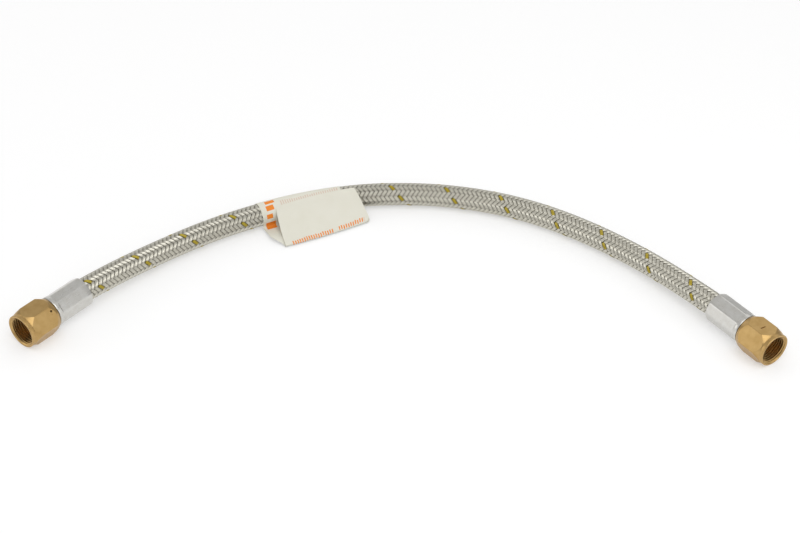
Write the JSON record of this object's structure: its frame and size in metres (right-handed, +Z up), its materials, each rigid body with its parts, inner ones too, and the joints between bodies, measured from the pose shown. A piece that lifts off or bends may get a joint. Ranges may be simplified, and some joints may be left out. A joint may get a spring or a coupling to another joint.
{
  "type": "flexible gas hose",
  "caption": "Braided steel flexible gas hose in an arc, with a brass hexagon swivel nut and a crimped ferrule at each end, and a folded film label.",
  "frame": {"origin": "centre of the bounding box, on the surface that the hose lies on", "axes": "+X along the chord from the left end to the right end, +Y towards the middle of the bow, +Z up from the surface"},
  "size_m": [0.477, 0.1713, 0.0222],
  "materials": {
    "hose_rubber": "matt black gas hose rubber",
    "braided_steel": "woven stainless wire, warm grey",
    "ferrule_steel": "satin plated steel, pressed",
    "nut_brass": "machined brass, satin flats",
    "tail_brass": "turned brass",
    "spring_wire": "drawn spring wire",
    "label_film": "cream film with plain orange print"
  },
  "bodies": {
    "hose": {"inner_hose": "hose_rubber", "braided_sleeve": "braided_steel", "label": "label_film", "left_hose_tail": "tail_brass", "left_retaining_wire": "spring_wire", "left_ferrule": "ferrule_steel", "right_hose_tail": "tail_brass", "right_retaining_wire": "spring_wire", "right_ferrule": "ferrule_steel"},
    "left_nut": {"left_swivel_nut": "nut_brass"},
    "right_nut": {"right_swivel_nut": "nut_brass"}
  },
  "joints": [
    {"name": "left_nut_swivel", "type": "hinge", "parent": "hose", "child": "left_nut", "pos_m": [-0.21853, -0.06189, 0.0111], "axis": [-0.6157, -0.788, 0], "continuous": true},
    {"name": "right_nut_swivel", "type": "hinge", "parent": "hose", "child": "right_nut", "pos_m": [0.21862, -0.06439, 0.0111], "axis": [0.5948, -0.8039, 0], "continuous": true}
  ]
}
